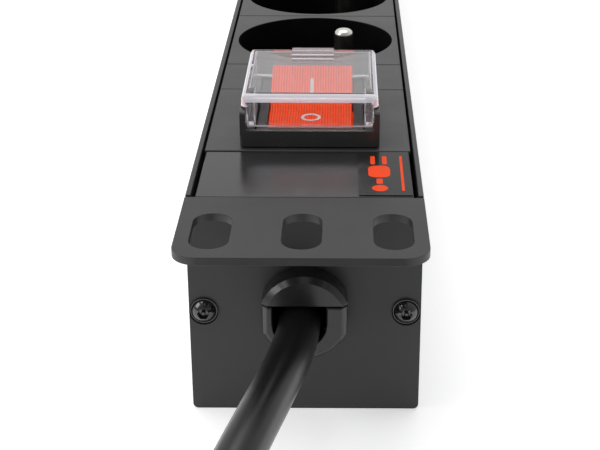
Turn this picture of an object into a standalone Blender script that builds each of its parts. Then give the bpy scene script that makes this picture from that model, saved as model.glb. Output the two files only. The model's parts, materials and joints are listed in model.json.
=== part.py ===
"""Rack power strip: a one-unit, 19-inch aluminium strip with a covered rocker switch, eight round sockets
with earth pins, a bent rack ear at each end and a mains cord with its plug.

Run with blender --background --python part.py. All sizes below are in millimetres; meshes are made in metres.
X is the strip's width, Y its length with the cord leaving at -Y, and Z is up. The origin is the middle of the
underside.
"""

import math

import bmesh
import bpy
import numpy as np
from mathutils import Matrix, Vector

MM = 0.001
GAP = 0.3  # clearance between neighbouring pieces

# The strip
OVERALL_LENGTH = 482.6  # 19 inches, from ear tip to ear tip
WIDTH = 44.0
HEIGHT = 44.5
HALF_WIDTH = WIDTH / 2
WALL = 1.0
FLOOR = 1.4
SHELF_Z = 25.0  # the modules' skirts stand on the profile's inner shelves
SHELF_EDGE_X = 17.6
MODULE_TOP_Z = 44.4
MODULE_HALF_WIDTH = 20.5
SKIRT = 1.6
PLATE = 2.0

# Rack ears
SHEET = 1.5
EAR_REACH = 25.0
EAR_CORNER = 4.5
END_Y = OVERALL_LENGTH / 2 - EAR_REACH  # outer face of the end plates
INNER_Y = END_Y - SHEET
SLOT_SPACING = 15.875
SLOT_WIDTH = 7.0
SLOT_LENGTH = 15.1
SLOT_FROM_TIP = 10.9

# Screws and their ports in the profile
SCREW_X = 19.2
SCREW_Z = 21.4
PORT_BORE = 1.8
PORT_OUTER = 2.9
SCREW_HEAD_RADIUS = 2.75
SCREW_HEAD_HEIGHT = 1.65
SCREW_SHANK_RADIUS = 1.45
SCREW_SHANK_LENGTH = 9.0
HEX_ACROSS_FLATS = 2.0

# The row of modules, from the cord's end
BLANK_LENGTH = 23.25
SWITCH_LENGTH = 38.2
SPACER_LENGTH = 18.4
SOCKET_PITCH = 41.8
SOCKET_COUNT = 8
BLANK_HALF_WIDTH = 20.2
BLANK_TOP_Z = 44.2
BLANK_END_Y = BLANK_LENGTH - INNER_Y
SWITCH_END_Y = BLANK_END_Y + SWITCH_LENGTH
SOCKETS_Y = SWITCH_END_Y + SPACER_LENGTH
SOCKETS_END_Y = SOCKETS_Y + SOCKET_COUNT * SOCKET_PITCH
SOCKET_CENTRES = [SOCKETS_Y + (n + 0.5) * SOCKET_PITCH for n in range(SOCKET_COUNT)]
LABEL_X = (10.0, 20.0)
LABEL_THICKNESS = 0.15

# Sockets: a French pattern, with its earth pin turned 45 degrees from the strip's length
RECESS_RADIUS = 19.1
RECESS_DEPTH = 15.0
RECESS_FLOOR_Z = MODULE_TOP_Z - RECESS_DEPTH
CONTACT_OFFSET = 9.5  # from the socket's centre to each live aperture
EARTH_OFFSET = 10.0
APERTURE_RADIUS = 2.7
PIN_RADIUS = 2.4
PIN_TIP_Z = 44.9
SOCKET_BOTTOM_Z = 22.5
SOCKET_BASE_HALF_WIDTH = 16.0
DIAGONAL = math.sqrt(0.5)
SHUTTER_Z = (26.6, 27.6)
SHUTTER_HALF_LENGTH = 13.2
SHUTTER_HALF_WIDTH = 3.3
SHUTTER_TRAVEL = 6.5

# Busbars
BAR_THICKNESS = 1.2
BAR_X = CONTACT_OFFSET * DIAGONAL
BAR_Z = (3.0, 9.0)
FORK_TOP_Z = 22.2
FORK_GAP = 5.0
FORK_PRONG = 1.6
RISER_TOP_Z = 15.0
BARS_START_Y = SOCKETS_Y - 15.0
RISER_LENGTH = 6.0
EARTH_BAR_Z = (19.6, 20.6)
EARTH_BAR_X = (11.5, 15.5)

# Switch
SWITCH_X = 0.4
SWITCH_Y = -173.65
FRAME_HALF_WIDTH = 13.95
FRAME_HALF_LENGTH = 16.5
FRAME_Z = (44.7, 48.0)
BODY_HALF_WIDTH = 10.8
BODY_HALF_LENGTH = 15.0
BODY_Z = (25.5, 47.7)
BODY_FLOOR = 2.0
WELL_HALF_WIDTH = 8.8
WELL_HALF_LENGTH = 13.4
PIVOT_Z = 45.0
ROCKER_RADIUS = 13.0
ROCKER_HALF_WIDTH = 8.5
ROCKER_VALLEY = 2.4
ROCKER_SLOPE = math.radians(11.5)  # each half's slope in the middle position, and the tilt at rest
ROCKER_SKIRT_ANGLE = math.radians(-26)
ROCKER_SHELL = 1.5
TRUNNION_RADIUS = 1.2
TAB_X = 5.42
TAB_Y = 7.0
TAB_THICKNESS = 0.8
TAB_WIDTH = 6.3
TAB_Z = (14.0, 29.5)

# Clear cover and its hinge, on the switch frame's two ears
HINGE_Y = SWITCH_Y - 14.4
HINGE_Z = 49.9
LUG_RADIUS = 2.6
LUG_INNER_X = 12.8
COVER_HALF_WIDTH = 13.7
COVER_NECK_HALF_WIDTH = 12.5
COVER_HALF_LENGTH = 16.0
COVER_Z = (48.5, 55.3)
COVER_WALL = 1.3
COVER_NOTCH_RADIUS = 2.9
COVER_LOWER_EDGE = 0.9
STUB_RADIUS = 0.8
STUB_HOLE_RADIUS = 1.1
THUMB_HALF_WIDTH = 4.5

# Strain relief, a two-part bush through the end plate
GLAND_X = 0.05
GLAND_Z = 22.5
HEAD_RADIUS = 8.6
HEAD_FLAT = 8.0
HEAD_LENGTH = 5.5
HEAD_CHAMFER = 1.0
NECK_RADIUS = 7.2
NECK_FLAT = 6.3
BARB_RADIUS = 8.3
PARTING_Z = 25.1
JAW_SLOT_RADIUS = 5.0
JAW_SLOT_Z = 21.5

# Cord: round, 8 mm, folded into a tied hank in front of the strip, with its plug beside it
CORD_RADIUS = 4.0
CORD_X = -0.9
CORD_Z = 21.0
CORD_INNER_Y = -206.0
CORD_ROUTE = [  # from inside the end plate to where the hank starts
    (CORD_X, CORD_INNER_Y, CORD_Z),
    (CORD_X, -212.0, CORD_Z),
    (CORD_X, -218.0, CORD_Z),
    (-1.1, -224.0, 21.0),
    (-1.8, -230.0, 21.1),
    (-3.0, -237.0, 21.2),
    (-4.7, -245.0, 21.2),
    (-7.1, -255.0, 20.9),
    (-10.0, -266.0, 19.9),
    (-13.3, -278.0, 17.8),
    (-17.0, -291.0, 14.3),
    (-21.0, -304.0, 10.3),
    (-25.0, -317.0, 7.0),
    (-28.0, -330.0, 5.4),
    (-30.2, -343.0, 5.0),
    (-31.5, -355.0, 5.0),
    (-31.9, -367.0, 5.0),
]
HANK_NEAR_Y = -394.5  # centre of its turned end towards the strip
HANK_RUN = 77.3  # from there to the centre of its far end
HANK_RADII = (24.0, 32.2)  # centrelines of the inner and outer turns round each end
HANK_LAYERS = 3
HANK_CORNER = 3.5
LAYER_PITCH = 8.3
TIE_THICKNESS = 0.7
TIE_WIDTH = 12.0
HANK_Z = TIE_THICKNESS + GAP
HANK_TOP_Z = HANK_Z + 2 * CORD_RADIUS + (HANK_LAYERS - 1) * LAYER_PITCH
TAIL_ROUTE = [(18.0, -358.0, 14.25), (17.1, -353.2, 14.71), (16.8, -349.0, 15.15)]

# Plug, lying on its widest part with its face tipped up
PLUG_BACK = (16.8, -348.5, 15.2)
PLUG_TILT = 6.0
PLUG_PROFILE = [  # (radius, distance from the cord's end of the nose)
    (5.2, 0.0),
    (6.6, 20.0),
    (9.0, 23.0),
    (11.5, 30.0),
    (16.0, 36.0),
    (19.4, 42.0),
    (19.4, 56.0),
    (18.6, 57.5),
]
PLUG_LENGTH = 57.5
PLUG_PIN_LENGTH = 19.0
PLUG_PIN_OFFSET = 9.5
INSERT_HALF = (13.2, 4.7)
INSERT_DEPTH = 12.0


# Outlines -------------------------------------------------------------------


def arc(centre_u, centre_v, radius, start, end, steps):
    """Points round a circle from one angle to another, in degrees."""
    angles = np.radians(np.linspace(start, end, steps + 1))
    return [(centre_u + radius * math.cos(a), centre_v + radius * math.sin(a)) for a in angles]


def circle(centre_u, centre_v, radius, steps):
    return arc(centre_u, centre_v, radius, 0, 360, steps)[:-1]


def rectangle(low_u, high_u, low_v, high_v):
    return [(low_u, low_v), (high_u, low_v), (high_u, high_v), (low_u, high_v)]


def rounded(low_u, high_u, low_v, high_v, radii, steps=4):
    """A rectangle with a radius for each corner: low left, low right, high right, high left."""
    corners = [(low_u, low_v, 1, 1, 180), (high_u, low_v, -1, 1, 270)]
    corners += [(high_u, high_v, -1, -1, 0), (low_u, high_v, 1, -1, 90)]
    points = []
    for (u, v, side_u, side_v, start), radius in zip(corners, radii, strict=True):
        if radius:
            points += arc(u + side_u * radius, v + side_v * radius, radius, start, start + 90, steps)
        else:
            points.append((u, v))
    return points


def flatted_circle(centre_u, centre_v, radius, flat, steps=10):
    """A circle with a flat on either side, at flat from its centre."""
    lean = math.degrees(math.acos(flat / radius))
    upper = arc(centre_u, centre_v, radius, lean, 180 - lean, steps)
    lower = arc(centre_u, centre_v, radius, 180 + lean, 360 - lean, steps)
    return upper + lower


# Meshes -----------------------------------------------------------------------


def finished(shape, name):
    """The bmesh, built in millimetres, as a mesh in metres with its faces pointing out."""
    bmesh.ops.remove_doubles(shape, verts=shape.verts, dist=1e-4)
    bmesh.ops.recalc_face_normals(shape, faces=shape.faces)
    bmesh.ops.scale(shape, vec=(MM, MM, MM), verts=shape.verts)
    mesh = bpy.data.meshes.new(name)
    shape.to_mesh(mesh)
    shape.free()
    return mesh


PLANES = {
    "X": lambda u, v, w: (w, u, v),
    "Y": lambda u, v, w: (u, w, v),
    "Z": lambda u, v, w: (u, v, w),
}


def lofted(outlines, along, levels):
    """Outlines with equally many points, each across an axis at its own level, joined into a solid."""
    shape = bmesh.new()
    place = PLANES[along]
    rings = [
        [shape.verts.new(place(u, v, level)) for u, v in outline]
        for outline, level in zip(outlines, levels, strict=True)
    ]
    shape.faces.new(rings[0])
    shape.faces.new(rings[-1])
    count = len(rings[0])
    for near, far in zip(rings, rings[1:]):
        for n in range(count):
            m = (n + 1) % count
            shape.faces.new((near[n], near[m], far[m], far[n]))
    return finished(shape, "loft")


def prism(outline, along, low, high):
    """The outline, in the plane across an axis, extruded along that axis."""
    return lofted([outline, outline], along, (low, high))


def box(low, high):
    return prism(rectangle(low[0], high[0], low[1], high[1]), "Z", low[2], high[2])


def turned(profile, steps):
    """A profile of (radius, height) points turned about Z; a radius of 0 closes an end."""
    shape = bmesh.new()
    rings = []
    for radius, height in profile:
        if radius == 0:
            rings.append([shape.verts.new((0, 0, height))] * steps)
            continue
        angles = [2 * math.pi * n / steps for n in range(steps)]
        rings.append([shape.verts.new((radius * math.cos(a), radius * math.sin(a), height)) for a in angles])
    for lower, upper in zip(rings, rings[1:]):
        for n in range(steps):
            m = (n + 1) % steps
            corners = [lower[n], lower[m], upper[m], upper[n]]
            face = list(dict.fromkeys(corners))
            shape.faces.new(face)
    return finished(shape, "turned")


def moved(mesh, matrix):
    """The mesh turned or shifted; a shift is in millimetres."""
    placed = matrix.copy()
    placed.translation = placed.translation * MM
    mesh.transform(placed)
    return mesh


def shifted(mesh, x=0.0, y=0.0, z=0.0):
    return moved(mesh, Matrix.Translation((x, y, z)))


def joined(*meshes):
    """Several meshes as one, for cutters that don't overlap."""
    shape = bmesh.new()
    for mesh in meshes:
        shape.from_mesh(mesh)
    mesh = bpy.data.meshes.new("joined")
    shape.to_mesh(mesh)
    shape.free()
    return mesh


def combined(base, other, operation):
    """The mesh that a Boolean makes of two: DIFFERENCE, UNION or INTERSECT."""
    pair = [bpy.data.objects.new("operand", mesh) for mesh in (base, other)]
    for operand in pair:
        bpy.context.scene.collection.objects.link(operand)
    modifier = pair[0].modifiers.new("combine", "BOOLEAN")
    modifier.object = pair[1]
    modifier.operation = operation
    modifier.solver = "EXACT"
    bpy.context.view_layer.update()
    graph = bpy.context.evaluated_depsgraph_get()
    result = bpy.data.meshes.new_from_object(pair[0].evaluated_get(graph))
    for operand in pair:
        bpy.data.objects.remove(operand)
    return result


def cut(base, *cutters):
    for cutter in cutters:
        base = combined(base, cutter, "DIFFERENCE")
    return base


def united(base, *others):
    for other in others:
        base = combined(base, other, "UNION")
    return base


def common(base, *others):
    for other in others:
        base = combined(base, other, "INTERSECT")
    return base


def smooth_path(points, spacing):
    """Points about spacing apart on a smooth curve through the given ones."""
    nodes = [Vector(p) for p in points]
    nodes = [2 * nodes[0] - nodes[1], *nodes, 2 * nodes[-1] - nodes[-2]]
    fine = []
    for a, b, c, d in zip(nodes, nodes[1:], nodes[2:], nodes[3:]):
        bend, twist = 2 * a - 5 * b + 4 * c - d, 3 * b - 3 * c + d - a
        for t in np.linspace(0, 1, 12, endpoint=False):
            fine.append(0.5 * (2 * b + (c - a) * t + bend * t**2 + twist * t**3))
    fine.append(nodes[-2])
    along = np.concatenate([[0.0], np.cumsum([(q - p).length for p, q in zip(fine, fine[1:])])])
    stops = np.linspace(0, along[-1], max(3, round(along[-1] / spacing) + 1))
    columns = [np.interp(stops, along, [p[k] for p in fine]) for k in range(3)]
    return [Vector(p) for p in zip(*columns)]


# Objects ----------------------------------------------------------------------


def material(name, colour, roughness, metallic=0.0, alpha=1.0):
    made = bpy.data.materials.new(name)
    made.use_nodes = True
    shader = made.node_tree.nodes["Principled BSDF"]
    shader.inputs["Base Color"].default_value = (*colour, 1.0)
    shader.inputs["Roughness"].default_value = roughness
    shader.inputs["Metallic"].default_value = metallic
    shader.inputs["Alpha"].default_value = alpha
    made.diffuse_color = (*colour, alpha)
    return made


def part(name, mesh, finish, parent=None, origin=(0.0, 0.0, 0.0)):
    """One piece: its mesh is in the strip's frame, and its origin is moved to the given place."""
    if parent is not None:
        origin = tuple(parent.location / MM)
    shifted(mesh, -origin[0], -origin[1], -origin[2])
    piece = bpy.data.objects.new(name, mesh)
    mesh.materials.clear()
    mesh.materials.append(finish)
    mesh.shade_smooth()
    mesh.set_sharp_from_angle(angle=math.radians(35))
    bpy.context.scene.collection.objects.link(piece)
    if parent is None:
        piece.location = Vector(origin) * MM
    else:
        piece.parent = parent
    return piece


def pivot(name, place):
    """An empty on a joint's axis, which the joint's pieces are parented to."""
    empty = bpy.data.objects.new(name, None)
    empty.location = Vector(place) * MM
    empty.empty_display_size = 5 * MM
    bpy.context.scene.collection.objects.link(empty)
    return empty


def copies(name, mesh, finish, places):
    """One object for each place, all with the same mesh."""
    mesh.materials.clear()
    mesh.materials.append(finish)
    mesh.shade_smooth()
    mesh.set_sharp_from_angle(angle=math.radians(35))
    for number, place in enumerate(places, start=1):
        piece = bpy.data.objects.new(f"{name}_{number}", mesh)
        piece.location = Vector(place) * MM
        bpy.context.scene.collection.objects.link(piece)


def cable(name, route, radius, finish, sides, spacing):
    """A round cable along a route, as a curve with filled ends."""
    points = smooth_path(route, spacing)
    curve = bpy.data.curves.new(name, "CURVE")
    curve.dimensions = "3D"
    curve.bevel_depth = radius * MM
    curve.bevel_resolution = sides // 4
    curve.use_fill_caps = True
    curve.render_resolution_u = 0
    line = curve.splines.new("POLY")
    line.points.add(len(points) - 1)
    for spot, place in zip(line.points, points, strict=True):
        spot.co = (*(place * MM), 1.0)
    curve.materials.append(finish)
    piece = bpy.data.objects.new(name, curve)
    bpy.context.scene.collection.objects.link(piece)


# The strip's casing -----------------------------------------------------------


def profile_outline():
    """The U-shaped profile's section, with a shelf and an open screw port inside each wall."""
    inner = HALF_WIDTH - WALL
    opening = 20  # half of the port's open angle, in degrees
    shelf = math.degrees(math.acos((SHELF_EDGE_X - SCREW_X) / PORT_OUTER))
    wall_meets = math.degrees(math.acos((inner - SCREW_X) / PORT_OUTER))
    right = [(HALF_WIDTH, HEIGHT), (inner, HEIGHT), (inner, SHELF_Z), (SHELF_EDGE_X, SHELF_Z)]
    right += arc(SCREW_X, SCREW_Z, PORT_OUTER, shelf, 180 - opening, 3)
    right += arc(SCREW_X, SCREW_Z, PORT_BORE, 180 - opening, opening - 180, 14)
    right += arc(SCREW_X, SCREW_Z, PORT_OUTER, opening - 180, -wall_meets, 6)
    right.append((inner, FLOOR))
    left = [(-x, z) for x, z in reversed(right)]
    underside = rounded(-HALF_WIDTH, HALF_WIDTH, 0, HEIGHT, (1, 1, 0, 0), 3)[:8]
    return right + left + underside


def add_profile(finish):
    length = INNER_Y - GAP
    part("aluminium_profile", prism(profile_outline(), "Y", -length, length), finish)


def rack_ear(with_gland_hole):
    """The ear at the cord's end: one sheet bent from the end plate out into the slotted ear."""
    tip, inside = -OVERALL_LENGTH / 2, -INNER_Y
    section = [(tip, HEIGHT), (tip, HEIGHT - SHEET)]
    section += arc(-END_Y - 0.5, HEIGHT - SHEET - 0.5, 0.5, 90, 0, 3)
    section += [(-END_Y, 0), (inside, 0)]
    section += arc(inside - 0.9, HEIGHT - 0.9, 0.9, 0, 90, 4)
    sheet = prism(section, "X", -HALF_WIDTH - 1, HALF_WIDTH + 1)
    plan = rounded(-HALF_WIDTH, HALF_WIDTH, tip, inside + 1, (EAR_CORNER, EAR_CORNER, 0, 0), 8)
    front = rounded(-HALF_WIDTH, HALF_WIDTH, 0, HEIGHT + 1, (1, 1, 0, 0), 3)
    sheet = common(sheet, prism(plan, "Z", -1, HEIGHT + 1), prism(front, "Y", tip - 1, inside + 1))
    slot_y = tip + SLOT_FROM_TIP
    half_run = (SLOT_LENGTH - SLOT_WIDTH) / 2
    slots = []
    for x in (-SLOT_SPACING, 0, SLOT_SPACING):
        outline = arc(x, slot_y + half_run, SLOT_WIDTH / 2, 0, 180, 10)
        outline += arc(x, slot_y - half_run, SLOT_WIDTH / 2, 180, 360, 10)
        slots.append(prism(outline, "Z", HEIGHT - SHEET - 1, HEIGHT + 1))
    holes = [
        prism(circle(side * SCREW_X, SCREW_Z, SCREW_SHANK_RADIUS + GAP, 16), "Y", -END_Y - 1, inside + 1)
        for side in (-1, 1)
    ]
    if with_gland_hole:
        hole = flatted_circle(GLAND_X, GLAND_Z, NECK_RADIUS + GAP, NECK_FLAT + GAP)
        holes.append(prism(hole, "Y", -END_Y - 1, inside + 1))
    return cut(sheet, joined(*slots, *holes))


def add_rack_ears(finish):
    part("rack_ear_cord_end", rack_ear(True), finish, origin=(0, -END_Y, 0))
    far = moved(rack_ear(False), Matrix.Rotation(math.pi, 4, "Z"))
    part("rack_ear_far_end", far, finish, origin=(0, END_Y, 0))


def button_screw():
    """A button-head screw with a pinned hex socket, head up, with the underside of its head at the origin."""
    dome = arc(0, -1.5, 3.15, 8, 90, 6)
    head = [(SCREW_HEAD_RADIUS, 0.0), (SCREW_HEAD_RADIUS, 0.35)]
    head += [(r * SCREW_HEAD_RADIUS / 3.15, z) for r, z in dome[2:-1]]
    head += [(0, SCREW_HEAD_HEIGHT)]
    shank = [(0, -SCREW_SHANK_LENGTH), (SCREW_SHANK_RADIUS - 0.5, -SCREW_SHANK_LENGTH)]
    shank += [(SCREW_SHANK_RADIUS, 0.6 - SCREW_SHANK_LENGTH), (SCREW_SHANK_RADIUS, 0)]
    hexagon = circle(0, 0, HEX_ACROSS_FLATS / math.sqrt(3), 6)
    socket = prism(hexagon, "Z", 0.5, 3)
    socket = cut(socket, prism(circle(0, 0, 0.38, 8), "Z", 0, 1.2))
    return cut(turned(shank + head, 20), socket)


def add_screws(finish):
    mesh = button_screw()
    mesh.materials.append(finish)
    mesh.shade_smooth()
    mesh.set_sharp_from_angle(angle=math.radians(35))
    number = 0
    for end in (-1, 1):
        for side in (-1, 1):
            number += 1
            screw = bpy.data.objects.new(f"ear_screw_{number}", mesh)
            screw.rotation_euler = (-end * math.pi / 2, 0, 0)
            screw.location = Vector((side * SCREW_X, end * (END_Y + GAP), SCREW_Z)) * MM
            bpy.context.scene.collection.objects.link(screw)


# Modules ----------------------------------------------------------------------


def skirted_plate(low_y, high_y, half_width=MODULE_HALF_WIDTH, top=MODULE_TOP_Z):
    """A flat plate with a skirt down to the profile's shelf on either side."""
    foot, under = SHELF_Z + GAP, top - PLATE
    right = [(half_width, foot), (half_width, top)]
    inside = [(half_width - SKIRT, under), (half_width - SKIRT, foot)]
    section = right + [(-x, z) for x, z in reversed(right)]
    section += [(-x, z) for x, z in reversed(inside)] + inside
    return prism(section, "Y", low_y + GAP / 2, high_y - GAP / 2)


def add_plates(finish):
    near = skirted_plate(GAP / 2 - INNER_Y, BLANK_END_Y, BLANK_HALF_WIDTH, BLANK_TOP_Z)
    part("blank_plate_cord_end", near, finish)
    part("spacer_plate", skirted_plate(SWITCH_END_Y, SOCKETS_Y), finish)
    part("blank_plate_far_end", skirted_plate(SOCKETS_END_Y, INNER_Y - GAP / 2), finish)
    hole_x, hole_y = BODY_HALF_WIDTH + GAP + 0.1, BODY_HALF_LENGTH + GAP + 0.1
    hole = box(
        (SWITCH_X - hole_x, SWITCH_Y - hole_y, BLANK_TOP_Z - 4),
        (SWITCH_X + hole_x, SWITCH_Y + hole_y, MODULE_TOP_Z + 1),
    )
    part("switch_plate", cut(skirted_plate(BLANK_END_Y, SWITCH_END_Y), hole), finish)


def add_label(finish):
    low = (LABEL_X[0], GAP - INNER_Y + 0.4, BLANK_TOP_Z + 0.1)
    high = (LABEL_X[1], BLANK_END_Y - GAP - 0.2, BLANK_TOP_Z + 0.1 + LABEL_THICKNESS)
    part("front_label", box(low, high), finish)


def diagonal_box(low_u, high_u, half_v, low_z, high_z):
    """A box in a socket's own axes: u towards its earth pin, v through its two apertures."""
    outline = rectangle(low_u, high_u, -half_v, half_v)
    return moved(prism(outline, "Z", low_z, high_z), Matrix.Rotation(math.pi / 4, 4, "Z"))


def socket_mesh():
    """One socket about its own centre: a block with a round recess, apertures and the shutter's slot."""
    half_length = (SOCKET_PITCH - GAP) / 2
    step = SHELF_Z + GAP
    right = [(SOCKET_BASE_HALF_WIDTH, SOCKET_BOTTOM_Z), (SOCKET_BASE_HALF_WIDTH, step)]
    right += [(MODULE_HALF_WIDTH, step), (MODULE_HALF_WIDTH, MODULE_TOP_Z)]
    block = prism(right + [(-x, z) for x, z in reversed(right)], "Y", -half_length, half_length)
    recess = prism(circle(0, 0, RECESS_RADIUS, 48), "Z", RECESS_FLOOR_Z, MODULE_TOP_Z + 1)
    contact, earth = CONTACT_OFFSET * DIAGONAL, EARTH_OFFSET * DIAGONAL
    places = [(contact, -contact), (-contact, contact), (earth, earth)]
    holes = [
        prism(circle(x, y, APERTURE_RADIUS, 14), "Z", SOCKET_BOTTOM_Z - 1, RECESS_FLOOR_Z + 1)
        for x, y in places
    ]
    slot = diagonal_box(
        -SHUTTER_HALF_WIDTH - SHUTTER_TRAVEL - GAP,
        SHUTTER_HALF_WIDTH + GAP,
        SHUTTER_HALF_LENGTH + GAP,
        SHUTTER_Z[0] - GAP,
        SHUTTER_Z[1] + GAP,
    )
    return cut(block, recess, joined(*holes), slot)


def earth_pin_mesh():
    """A round earth pin with a domed tip, a collar under the socket and a tail riveted in the earth bar."""
    profile = [(0, 18.4), (1.5, 18.4), (1.5, 21.0), (3.4, 21.0), (3.4, 22.2), (PIN_RADIUS, 22.2)]
    profile += [(PIN_RADIUS, PIN_TIP_Z - 1.6)]
    profile += [(PIN_RADIUS - 0.35, PIN_TIP_Z - 0.8), (PIN_RADIUS - 1.1, PIN_TIP_Z - 0.2), (0, PIN_TIP_Z)]
    return turned(profile, 14)


def add_sockets(plastic, metal, inner_plastic):
    centres = [(0, y, 0) for y in SOCKET_CENTRES]
    copies("socket", socket_mesh(), plastic, centres)
    earth = EARTH_OFFSET * DIAGONAL
    copies("earth_pin", earth_pin_mesh(), metal, [(earth, y + earth, 0) for y in SOCKET_CENTRES])
    shutter = diagonal_box(-SHUTTER_HALF_WIDTH, SHUTTER_HALF_WIDTH, SHUTTER_HALF_LENGTH, *SHUTTER_Z)
    copies("socket_shutter", shutter, inner_plastic, centres)


# Busbars ------------------------------------------------------------------------


def fork_bar(side):
    """A stamped busbar with one fork under each socket's aperture; side is 1 for live and -1 for neutral."""
    low, high = BAR_Z
    half_gap = FORK_GAP / 2
    top = [(BARS_START_Y, RISER_TOP_Z), (BARS_START_Y + RISER_LENGTH, RISER_TOP_Z)]
    top.append((BARS_START_Y + RISER_LENGTH, high))
    for centre in SOCKET_CENTRES:
        y = centre - side * BAR_X
        outer = half_gap + FORK_PRONG
        top += [(y - outer, high), (y - outer, FORK_TOP_Z), (y - half_gap, FORK_TOP_Z), (y - half_gap, high)]
        top += [(y + half_gap, high), (y + half_gap, FORK_TOP_Z), (y + outer, FORK_TOP_Z), (y + outer, high)]
    end = SOCKET_CENTRES[-1] + BAR_X + 6
    outline = [(BARS_START_Y, low), *top, (end, high), (end, low)]
    middle = side * BAR_X
    return prism(outline, "X", middle - BAR_THICKNESS / 2, middle + BAR_THICKNESS / 2)


def earth_bar():
    """The earth busbar: a strip with a tab and a hole under each earth pin."""
    earth = EARTH_OFFSET * DIAGONAL
    outline = [(EARTH_BAR_X[1], BARS_START_Y), (EARTH_BAR_X[1], SOCKETS_END_Y - 4)]
    outline.append((EARTH_BAR_X[0], SOCKETS_END_Y - 4))
    for centre in reversed(SOCKET_CENTRES):
        y = centre + earth
        outline += [(EARTH_BAR_X[0], y + 2.8), (earth - 2.8, y + 2.8)]
        outline += [(earth - 2.8, y - 2.8), (EARTH_BAR_X[0], y - 2.8)]
    outline.append((EARTH_BAR_X[0], BARS_START_Y))
    low, high = EARTH_BAR_Z
    holes = [prism(circle(earth, y + earth, 1.8, 10), "Z", low - 1, high + 1) for y in SOCKET_CENTRES]
    return cut(prism(outline, "Z", low, high), joined(*holes))


def bar_tray():
    """The insulating tray on the profile's floor, with a slot for each of the two live busbars."""
    low, base, rib = FLOOR + GAP, BAR_Z[0] - GAP, 8.0
    inner = BAR_X - BAR_THICKNESS / 2 - GAP
    outer = BAR_X + BAR_THICKNESS / 2 + GAP
    right = [(12, low), (12, base), (outer + 0.8, base), (outer + 0.8, rib), (outer, rib), (outer, base)]
    right += [(inner, base), (inner, rib), (inner - 0.8, rib), (inner - 0.8, base)]
    outline = right + [(-x, z) for x, z in reversed(right)]
    return prism(outline, "Y", BARS_START_Y - 2, SOCKETS_END_Y - 2)


def add_busbars(brass, tray_plastic):
    part("live_busbar", fork_bar(1), brass)
    part("neutral_busbar", fork_bar(-1), brass)
    part("earth_busbar", earth_bar(), brass)
    part("busbar_tray", bar_tray(), tray_plastic)


# Switch ---------------------------------------------------------------------------


def switch_frame():
    """The frame on the plate: a raised rim, with a hinge ear at each front corner."""
    outline = rounded(
        SWITCH_X - FRAME_HALF_WIDTH,
        SWITCH_X + FRAME_HALF_WIDTH,
        SWITCH_Y - FRAME_HALF_LENGTH,
        SWITCH_Y + FRAME_HALF_LENGTH,
        (0.6, 0.6, 0.6, 0.6),
        3,
    )
    frame = prism(outline, "Z", *FRAME_Z)
    hole_x, hole_y = BODY_HALF_WIDTH + GAP, BODY_HALF_LENGTH + GAP
    frame = cut(
        frame,
        box(
            (SWITCH_X - hole_x, SWITCH_Y - hole_y, FRAME_Z[0] - 1),
            (SWITCH_X + hole_x, SWITCH_Y + hole_y, FRAME_Z[1] + 1),
        ),
    )
    front = SWITCH_Y - FRAME_HALF_LENGTH + 0.05
    start = math.degrees(math.acos((front - HINGE_Y) / LUG_RADIUS))
    lug = [(front, FRAME_Z[1] - 1), (HINGE_Y + LUG_RADIUS, FRAME_Z[1] - 1)]
    lug += arc(HINGE_Y, HINGE_Z, LUG_RADIUS, 0, start, 10)
    for side in (-1, 1):
        xs = sorted((SWITCH_X + side * LUG_INNER_X, SWITCH_X + side * (FRAME_HALF_WIDTH - 0.02)))
        ear = prism(lug, "X", *xs)
        frame = united(frame, ear)
    stubs = prism(circle(HINGE_Y, HINGE_Z, STUB_HOLE_RADIUS, 14), "X", SWITCH_X - 20, SWITCH_X + 20)
    return cut(frame, stubs)


def switch_body():
    """The switch's housing: an open well for the rocker, bearing holes and four slots for the terminals."""
    low, high = BODY_Z
    body = box(
        (SWITCH_X - BODY_HALF_WIDTH, SWITCH_Y - BODY_HALF_LENGTH, low),
        (SWITCH_X + BODY_HALF_WIDTH, SWITCH_Y + BODY_HALF_LENGTH, high),
    )
    well = box(
        (SWITCH_X - WELL_HALF_WIDTH, SWITCH_Y - WELL_HALF_LENGTH, low + BODY_FLOOR),
        (SWITCH_X + WELL_HALF_WIDTH, SWITCH_Y + WELL_HALF_LENGTH, high + 1),
    )
    bearings = prism(circle(SWITCH_Y, PIVOT_Z, TRUNNION_RADIUS + GAP, 16), "X", SWITCH_X - 12, SWITCH_X + 12)
    half_x, half_y = TAB_THICKNESS / 2 + GAP, TAB_WIDTH / 2 + GAP
    slots = [
        box((x - half_x, SWITCH_Y + y - half_y, low - 1), (x + half_x, SWITCH_Y + y + half_y, low + 3))
        for x in (-TAB_X, TAB_X)
        for y in (-TAB_Y, TAB_Y)
    ]
    return cut(body, well, bearings, joined(*slots))


def rocker_section(radius, valley):
    """The rocker's section about the pivot, level: two slopes that meet in a shallow valley."""
    lean = math.cos(ROCKER_SLOPE)
    reach = math.sqrt(radius**2 - (valley * lean) ** 2) - valley * math.sin(ROCKER_SLOPE)
    height = valley + reach * math.sin(ROCKER_SLOPE)
    top = math.degrees(math.atan2(height, reach * lean))
    skirt = math.degrees(ROCKER_SKIRT_ANGLE)
    right = arc(0, 0, radius, skirt, top, 8)
    return right + [(0, valley)] + [(-y, z) for y, z in reversed(right)]


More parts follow.
